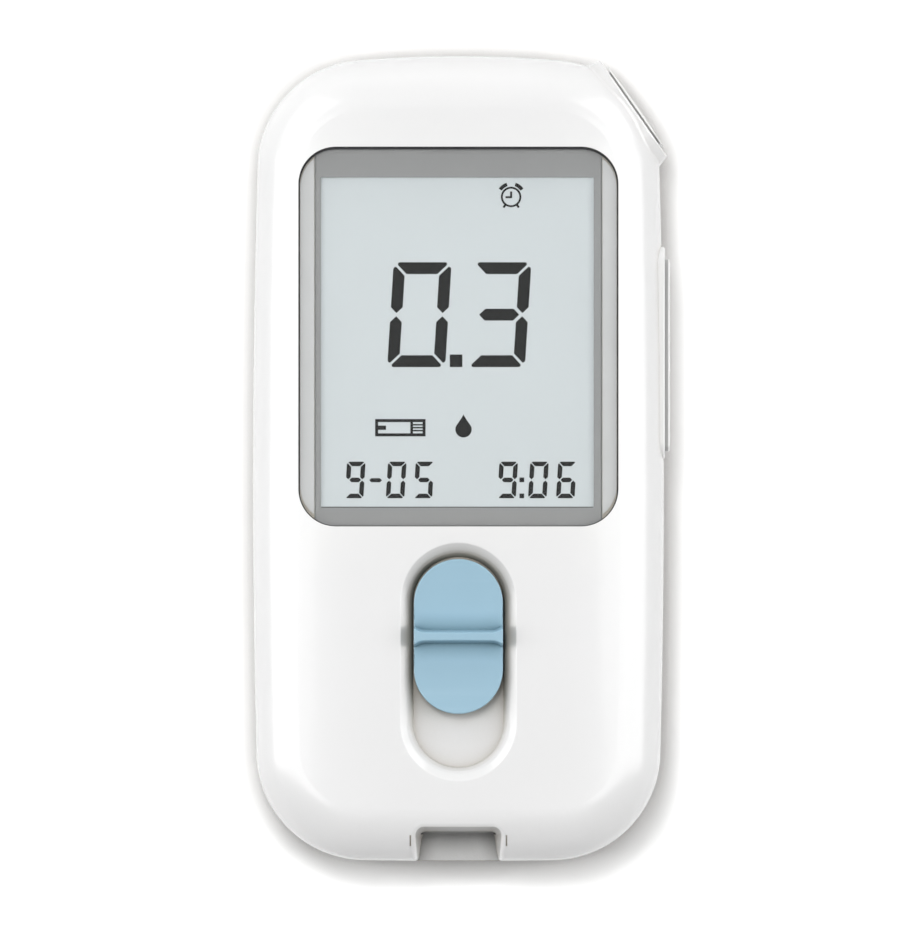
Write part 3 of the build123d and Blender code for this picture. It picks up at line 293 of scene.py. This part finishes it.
def lens_material():
    """Clear cover: see-through, with a faint gloss that grows at glancing angles."""
    surface = Surface("clear_lens")
    clear = surface.add("ShaderNodeBsdfTransparent", {"Color": LENS_TINT})
    gloss = surface.add("ShaderNodeBsdfGlossy", {
        "Color": (1.0, 1.0, 1.0, 1.0),
        "Roughness": surface.spread(surface.noise(700, 3.0), 0.03, 0.07),
        "Normal": surface.bump(surface.noise(120, 2.0), 0.004),
    })
    facing = surface.add("ShaderNodeLayerWeight", {"Blend": 0.5}).outputs["Facing"]
    rise = surface.math("POWER", facing, SHEEN_POWER)
    share = surface.spread(rise, LENS_GLOSS, LENS_SHEEN, 0.0, 1.0)
    return surface.finished(
        surface.blend_shaders(share, clear.outputs["BSDF"], gloss.outputs["BSDF"]))


FINISHES = {
    "white_housing": dict(
        colour=srgb(242, 242, 242), rough=0.24, vary=0.006, rough_vary=0.03, grain=(5200, 0.0015),
        swirl=(60, 0.004), coat=0.35, coat_rough=0.06, worn=srgb(248, 248, 246),
        # painted shade: warm grey on the housing where other pieces close in, as round the slider's
        # recess
        painted_shade=(4.5, 0.35, srgb(186, 179, 168))),
    "white_key": dict(
        colour=srgb(240, 240, 240), rough=0.3, vary=0.008, rough_vary=0.04, grain=(4200, 0.002),
        swirl=(120, 0.003), coat=0.2, worn=srgb(246, 246, 244)),
    "blue_slider": dict(
        colour=srgb(158, 194, 213), rough=0.42, vary=0.012, rough_vary=0.05, grain=(3600, 0.006),
        swirl=(220, 0.003), specular=0.35, worn=srgb(166, 200, 218),
        # painted shade: dark blue beside the slider's ridge and wherever the slider sits closed in
        painted_shade=(2.4, 0.3, srgb(70, 100, 110))),
    "light_tape": dict(colour=srgb(206, 206, 206), rough=0.5, vary=0.02, grain=(2600, 0.006)),
    "grey_bezel": dict(colour=srgb(149, 149, 149), rough=0.45, vary=0.01, grain=(3200, 0.004)),
    "grey_key": dict(colour=srgb(178, 178, 178), rough=0.4, vary=0.015, grain=(3200, 0.005)),
    "grey_port": dict(
        colour=srgb(206, 206, 205), rough=0.62, vary=0.05, grain=(5200, 0.03), swirl=(900, 0.01),
        # painted shade: grey where the strip port is closed in
        painted_shade=(2.4, 0.15, srgb(110, 110, 110))),
    "display_film": dict(
        colour=srgb(221, 227, 229), rough=0.4, vary=0.008, grain=(6000, 0.001), specular=0.2),
    "display_ink": dict(
        colour=srgb(24, 24, 24), rough=0.5, vary=0.03, grain=(5200, 0.001), specular=0.15),
    "display_glass": dict(colour=(0.56, 0.62, 0.60, 1.0), rough=0.08, vary=0.02, coat=0.5),
    "silver_film": dict(
        colour=(0.72, 0.73, 0.74, 1.0), rough=0.28, metallic=1.0, grain=(2600, 0.004)),
    "dark_rubber": dict(
        colour=(0.022, 0.022, 0.024, 1.0), rough=0.7, vary=0.15, grain=(2400, 0.02)),
    "black_plastic": dict(
        colour=(0.020, 0.020, 0.022, 1.0), rough=0.45, vary=0.12, grain=(2600, 0.012),
        worn=(0.06, 0.06, 0.06, 1.0)),
    "ivory_plastic": dict(colour=(0.78, 0.72, 0.58, 1.0), rough=0.4, grain=(2600, 0.008)),
    "natural_pom": dict(
        colour=(0.80, 0.79, 0.74, 1.0), rough=0.38, grain=(2600, 0.008), subsurface=0.1),
    "steel": dict(
        colour=(0.60, 0.59, 0.57, 1.0), rough=0.26, metallic=1.0, grain=(5200, 0.004),
        swirl=(700, 0.006), worn=(0.78, 0.77, 0.75, 1.0)),
    "spring_steel": dict(
        colour=(0.52, 0.52, 0.53, 1.0), rough=0.22, metallic=1.0, grain=(6200, 0.003),
        stretch=(1.0, 0.2, 1.0)),
    "gold_contact": dict(
        colour=(0.83, 0.60, 0.24, 1.0), rough=0.2, metallic=1.0, grain=(4200, 0.003)),
}

MATERIALS = {name: finish_material(name, **look) for name, look in FINISHES.items()}
MATERIALS["clear_lens"] = lens_material()
MATERIALS["green_board"] = board_material()
MATERIALS["cell_jacket"] = cell_material()

for node in NODES.values():
    for slot in node.material_slots:
        slot.material = MATERIALS[slot.material.name]


# ---------------------------------------------------------------- display marks
def top_mm(node):
    """The height of a node's top above the table, in millimetres."""
    return max((node.matrix_world @ Vector(corner)).z for corner in node.bound_box) / MM


INK_LOW = top_mm(NODES["front_polariser"]) + INK_GAP
INK_HIGH = INK_LOW + INK_THICKNESS


def ink_piece(name, plates):
    """One mesh of thin upright plates on the display, each from a list of (x, y) corners."""
    mesh = bmesh.new()
    for corners in plates:
        top = [mesh.verts.new((x * MM, y * MM, INK_HIGH * MM)) for x, y in corners]
        base = [mesh.verts.new((x * MM, y * MM, INK_LOW * MM)) for x, y in corners]
        mesh.faces.new(top)
        mesh.faces.new(base[::-1])
        for i in range(len(corners)):
            j = (i + 1) % len(corners)
            mesh.faces.new((top[j], top[i], base[i], base[j]))
    bmesh.ops.recalc_face_normals(mesh, faces=mesh.faces)
    data = bpy.data.meshes.new(name)
    mesh.to_mesh(data)
    mesh.free()
    data.materials.append(MATERIALS["display_ink"])
    piece = bpy.data.objects.new(name, data)
    bpy.context.collection.objects.link(piece)
    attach(piece, "housing")


def box(x_low, x_high, y_low, y_high):
    """The corners of an upright rectangle."""
    return [(x_low, y_low), (x_high, y_low), (x_high, y_high), (x_low, y_high)]


def square(x, y, size):
    return box(x, x + size, y, y + size)


def stroke(start, end, width):
    """A straight line between two points, given as vectors."""
    along = (end - start).normalized() * width / 2
    side = Vector((-along.y, along.x))
    return [tuple(corner) for corner in (start + side, start - side, end - side, end + side)]


def ring(x, y, outer, inner, start, end, steps):
    """A band of small plates along an arc, in degrees."""
    def at(radius, step):
        angle = math.radians(start + (end - start) * step / steps)
        return (x + radius * math.cos(angle), y + radius * math.sin(angle))
    return [[at(outer, i), at(outer, i + 1), at(inner, i + 1), at(inner, i)] for i in range(steps)]


def digit(mark, x, y, width, height, bar):
    """The plates of one seven-bar digit whose low left corner is at x, y."""
    gap, cut, tip, shy = (share * bar for share in (DIGIT_GAP, DIGIT_CORNER, DIGIT_TIP, DIGIT_SHY))
    middle = height / 2
    # The outer corner is rounded by top's first three points and side's second to fourth
    top = [(gap + cut, height), (gap + 0.72 * cut, height - 0.12 * cut),
           (gap + 0.6 * cut, height - 0.6 * cut), (bar + gap, height - bar)]
    side = [(bar, height - bar - gap), (0.6 * cut, height - gap - 0.6 * cut),
            (0.12 * cut, height - gap - 0.85 * cut), (0, height - gap - 1.3 * cut),
            (0, middle + tip + bar / 2), (bar / 2, middle + tip), (bar, middle + tip + bar / 2)]
    bridge = [(bar / 2 + shy, middle), (bar + shy, middle + bar / 2),
              (width - bar - shy, middle + bar / 2), (width - bar / 2 - shy, middle),
              (width - bar - shy, middle - bar / 2), (bar + shy, middle - bar / 2)]

    def across(points):
        return [(width - u, v) for u, v in points]

    def below(points):
        return [(u, height - v) for u, v in points]

    bars = {
        "a": top + across(top)[::-1],
        "b": across(side),
        "c": below(across(side)),
        "d": below(top + across(top)[::-1]),
        "e": below(side),
        "f": side,
        "g": bridge,
    }
    return [[(x + u + SLANT * v, y + v) for u, v in bars[key]] for key in SEGMENTS[mark]]


def dash(x_low, x_high, y, half):
    """A short line across, with pointed ends."""
    return [(x_low, y), (x_low + half, y + half), (x_high - half, y + half), (x_high, y),
            (x_high - half, y - half), (x_low + half, y - half)]


def strip_symbol(x_low, x_high, y_low, y_high):
    """A test strip lying down: its outline, the sample's channel and three contact lines."""
    wall_x, wall_y = 0.38, 0.39
    channel_length, channel_width, channel_rise = 1.02, 0.55, 0.45
    divider_width, contact_length = 0.34, 1.24
    line_width, line_pitch, line_drop = 0.19, 0.38, 0.44
    left, right = x_low + wall_x, x_high - wall_x
    low, high = y_low + wall_y, y_high - wall_y
    channel_low = low + channel_rise
    divider = right - contact_length
    plates = [
        box(x_low, x_high, high, y_high), box(x_low, x_high, y_low, low),
        box(x_low, left, low, high), box(right, x_high, low, high),
        box(left, left + channel_length, channel_low, channel_low + channel_width),
        box(divider - divider_width, divider, low, high),
    ]
    for i in range(3):
        y = high - line_drop - i * line_pitch
        plates.append(box(divider, right, y, y + line_width))
    return plates


def drop_symbol(x, y, radius, tip):
    """A drop: a round base whose sides curve up to a point at the height tip."""
    leave, curve = 25, 1.15        # degrees up the base where the sides leave it, and their bend
    base_steps, side_steps = 36, 8
    base_start, base_turn = -180 - leave, 180 + 2 * leave
    base = []
    for i in range(base_steps + 1):
        angle = math.radians(base_start + base_turn * i / base_steps)
        base.append((x + radius * math.cos(angle), y + radius * math.sin(angle)))
    out, start = base[-1][0] - x, base[-1][1]
    shares = [i / side_steps for i in range(1, side_steps)]
    right = [(x + out * (1 - t) ** curve, start + (tip - start) * t) for t in shares]
    left = [(2 * x - u, v) for u, v in reversed(right)]
    return [base + right + [(x, tip)] + left]


def alarm_symbol(x, y):
    """An alarm clock: a round face with two hands, two bells on its shoulders and two feet."""
    face, bell = (1.32, 1.07), (1.92, 1.46)        # outer and inner radius
    face_steps, bell_steps = 48, 10
    bell_starts, bell_turn = (34, 108), 38         # degrees
    # Start, end and width of each line, from the clock's middle
    lines = (
        ((0.0, -0.10), (0.0, 0.70), 0.26),
        ((0.12, -0.03), (-0.72, -0.03), 0.24),
        ((-0.75, -1.02), (-0.98, -1.37), 0.28),
        ((0.75, -1.02), (1.00, -1.37), 0.28),
    )
    middle = Vector((x, y))
    plates = ring(x, y, *face, 0, 360, face_steps)
    for start in bell_starts:
        plates += ring(x, y, *bell, start, start + bell_turn, bell_steps)
    for start, end, width in lines:
        plates.append(stroke(middle + Vector(start), middle + Vector(end), width))
    return plates


reading = digit("0", READING_ZERO_X, READING_Y, **READING_SIZE)
reading += [square(READING_POINT_X, READING_Y, READING_POINT)]
reading += digit("3", READING_THREE_X, READING_Y, **READING_SIZE)
ink_piece("reading_digits", reading)

low_row = []
for mark, x in LOW_DIGITS:
    low_row += digit(mark, x, LOW_Y, **LOW_SIZE)
low_row += [dash(**DASH)]
low_row += [square(COLON_X, y, COLON_DOT) for y in (COLON_HIGH_Y, LOW_Y)]
ink_piece("date_and_time_digits", low_row)

ink_piece("strip_symbol", strip_symbol(*STRIP_X, *STRIP_Y))
ink_piece("drop_symbol", drop_symbol(**DROP))
ink_piece("alarm_symbol", alarm_symbol(CLOCK_X, CLOCK_Y))
# A dark line of ink along the display's bottom edge, painted as the frame's shadow there
ink_piece("display_painted_shadow_line", [box(*PAINTED_SHADOW_LINE)])


# ---------------------------------------------------------------- table, room, lamps and camera
def floor_material():
    """A pale table that shows white and darkens where the object shades it; close to the object a
    contact shadow is painted into its colour.
    """
    surface = Surface("table")
    path = surface.add("ShaderNodeLightPath").outputs
    tone = surface.blend(surface.spread(surface.noise(40, 2.0), 0.0, 1.0),
                         (0.90, 0.90, 0.90, 1.0), (0.92, 0.92, 0.92, 1.0))
    matt = surface.add("ShaderNodeBsdfDiffuse", {"Color": tone}).outputs["BSDF"]
    white = surface.add("ShaderNodeEmission", {"Strength": 1.0}).outputs["Emission"]
    unseen = surface.blend_shaders(path["Is Glossy Ray"], matt, white)
    # Painted shadow: the table's colour goes dark where the object stands close
    near = surface.add("ShaderNodeAmbientOcclusion", {"Distance": CONTACT_REACH}).outputs["AO"]
    seen_tone_with_painted_shadow = surface.blend(near, (0.0, 0.0, 0.0, 1.0), (FLOOR_WHITE, FLOOR_WHITE, FLOOR_WHITE, 1.0))
    seen = surface.add("ShaderNodeBsdfDiffuse", {"Color": seen_tone_with_painted_shadow}).outputs["BSDF"]
    return surface.finished(surface.blend_shaders(path["Is Camera Ray"], unseen, seen))


def make_floor():
    x = y = FLOOR_REACH
    data = bpy.data.meshes.new("table")
    data.from_pydata([(-x, -y, 0), (x, -y, 0), (x, y, 0), (-x, y, 0)], [], [(0, 1, 2, 3)])
    data.materials.append(floor_material())
    table = bpy.data.objects.new("table", data)
    table.location.z = -FLOOR_DROP
    bpy.context.collection.objects.link(table)


def make_world():
    """A white room that lights the object more faintly than it shows."""
    world = bpy.data.worlds.new("studio")
    room = Graph(world)
    path = room.add("ShaderNodeLightPath").outputs
    seen = path["Is Camera Ray"]
    for kind in ("Is Glossy Ray", "Is Transmission Ray"):
        seen = room.math("MAXIMUM", seen, path[kind])
    white = (1.0, 1.0, 1.0, 1.0)
    dim = room.add("ShaderNodeBackground", {"Color": white, "Strength": ROOM_LIGHT})
    full = room.add("ShaderNodeBackground", {"Color": white})
    mix = room.blend_shaders(seen, dim.outputs["Background"], full.outputs["Background"])
    room.add("ShaderNodeOutputWorld", {"Surface": mix})
    bpy.context.scene.world = world


def soft_lamp(name, place, size, power, gleam=False):
    """A softbox aimed at the object. It lights the object, or with gleam shows in reflections."""
    lamp = bpy.data.lights.new(name, "AREA")
    lamp.shape = "RECTANGLE"
    lamp.size, lamp.size_y = size
    lamp.energy = power
    holder = bpy.data.objects.new(name, lamp)
    holder.location = place
    holder.rotation_mode = "QUATERNION"
    holder.rotation_quaternion = (LAMP_TARGET - Vector(place)).to_track_quat("-Z", "Y")
    holder.visible_glossy = gleam
    holder.visible_diffuse = not gleam
    bpy.context.collection.objects.link(holder)


def make_lamps():
    for name, place, size, power in LAMPS:
        soft_lamp(name, place, size, power)
    for name, (x, y, z), size, power, gleam in LAMP_PAIRS:
        soft_lamp(name + "_left", (-x, y, z), size, power, gleam)
        soft_lamp(name + "_right", (x, y, z), size, power, gleam)


def make_camera():
    camera = bpy.data.cameras.new("camera")
    camera.type = "ORTHO"
    camera.ortho_scale = VIEW_SPAN
    viewer = bpy.data.objects.new("camera", camera)
    viewer.location = VIEW_PLACE
    bpy.context.collection.objects.link(viewer)
    bpy.context.scene.camera = viewer
    bpy.context.scene.view_settings.view_transform = "Standard"


make_floor()
make_world()
make_lamps()
make_camera()
